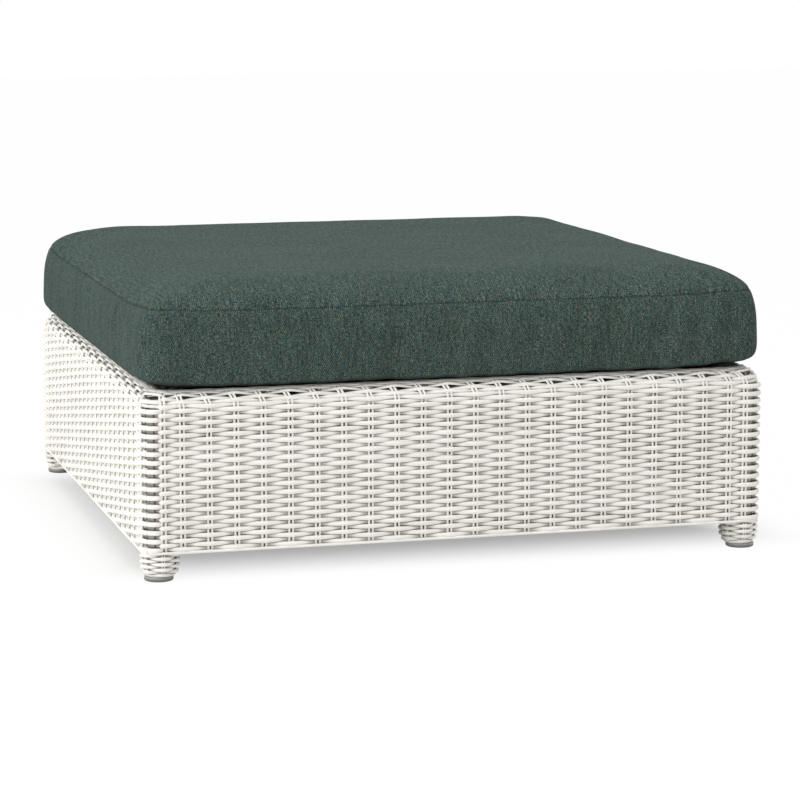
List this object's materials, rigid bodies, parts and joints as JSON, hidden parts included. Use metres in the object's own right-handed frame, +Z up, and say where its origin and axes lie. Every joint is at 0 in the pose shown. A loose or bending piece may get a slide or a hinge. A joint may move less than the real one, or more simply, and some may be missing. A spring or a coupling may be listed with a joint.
{
  "type": "outdoor ottoman footstool",
  "caption": "Square outdoor ottoman footstool: a white woven resin base on wrapped feet, with a loose boxed cushion in dark green fabric that zips at the back.",
  "frame": {"origin": "on the floor, at the centre of the footprint", "axes": "+Z up, +Y towards the side with the zip (the back), +X towards the right seen from the front"},
  "size_m": [0.915, 0.9213, 0.4124],
  "materials": {
    "wicker": "round extruded resin strands, off-white, satin",
    "frame": "powder-coated aluminium tube, satin",
    "glide": "moulded nylon, matt grey",
    "webbing": "woven elastic webbing, black",
    "fabric": "outdoor tweed, dark teal green with olive and blue flecks",
    "foam": "open-cell foam, cream",
    "zip_tape": "woven polyester tape, dark green",
    "zip_coil": "nylon coil, dark green",
    "zip_metal": "zinc alloy, dull nickel"
  },
  "bodies": {
    "base": {"leg_tube_front_left": "frame", "foot_wrap_front_left": "wicker", "glide_front_left": "glide", "leg_tube_front_right": "frame", "foot_wrap_front_right": "wicker", "glide_front_right": "glide", "leg_tube_back_left": "frame", "foot_wrap_back_left": "wicker", "glide_back_left": "glide", "leg_tube_back_right": "frame", "foot_wrap_back_right": "wicker", "glide_back_right": "glide", "top_rail_front": "frame", "bottom_rail_front": "frame", "middle_post_front": "frame", "deck_rail_front": "frame", "top_rail_right": "frame", "bottom_rail_right": "frame", "middle_post_right": "frame", "deck_rail_right": "frame", "top_rail_back": "frame", "bottom_rail_back": "frame", "middle_post_back": "frame", "deck_rail_back": "frame", "top_rail_left": "frame", "bottom_rail_left": "frame", "middle_post_left": "frame", "deck_rail_left": "frame", "woven_wall_front": "wicker", "woven_rim_front": "wicker", "woven_wall_right": "wicker", "woven_rim_right": "wicker", "woven_wall_back": "wicker", "woven_rim_back": "wicker", "woven_wall_left": "wicker", "woven_rim_left": "wicker", "strap_across_1": "webbing", "strap_along_1": "webbing", "strap_across_2": "webbing", "strap_along_2": "webbing", "strap_across_3": "webbing", "strap_along_3": "webbing", "strap_across_4": "webbing", "strap_along_4": "webbing"},
    "cushion": {"cushion_cover": "fabric", "cushion_foam": "foam", "zip_tape": "zip_tape", "zip_coil": "zip_coil"},
    "zip_slider": {"zip_slider": "zip_metal"},
    "zip_pull": {"zip_pull": "zip_metal"}
  },
  "joints": [
    {"name": "cushion_lift", "type": "slide", "parent": "base", "child": "cushion", "axis": [0, 0, 1], "range_m": [0, 0.25]},
    {"name": "zip_slide", "type": "slide", "parent": "cushion", "child": "zip_slider", "axis": [-1, 0, 0], "range_m": [0, 0.53]},
    {"name": "zip_pull_hinge", "type": "hinge", "parent": "zip_slider", "child": "zip_pull", "pos_m": [0.265, 0.46055, 0.3209], "axis": [0, 0, -1], "range_deg": [0, 175]}
  ]
}
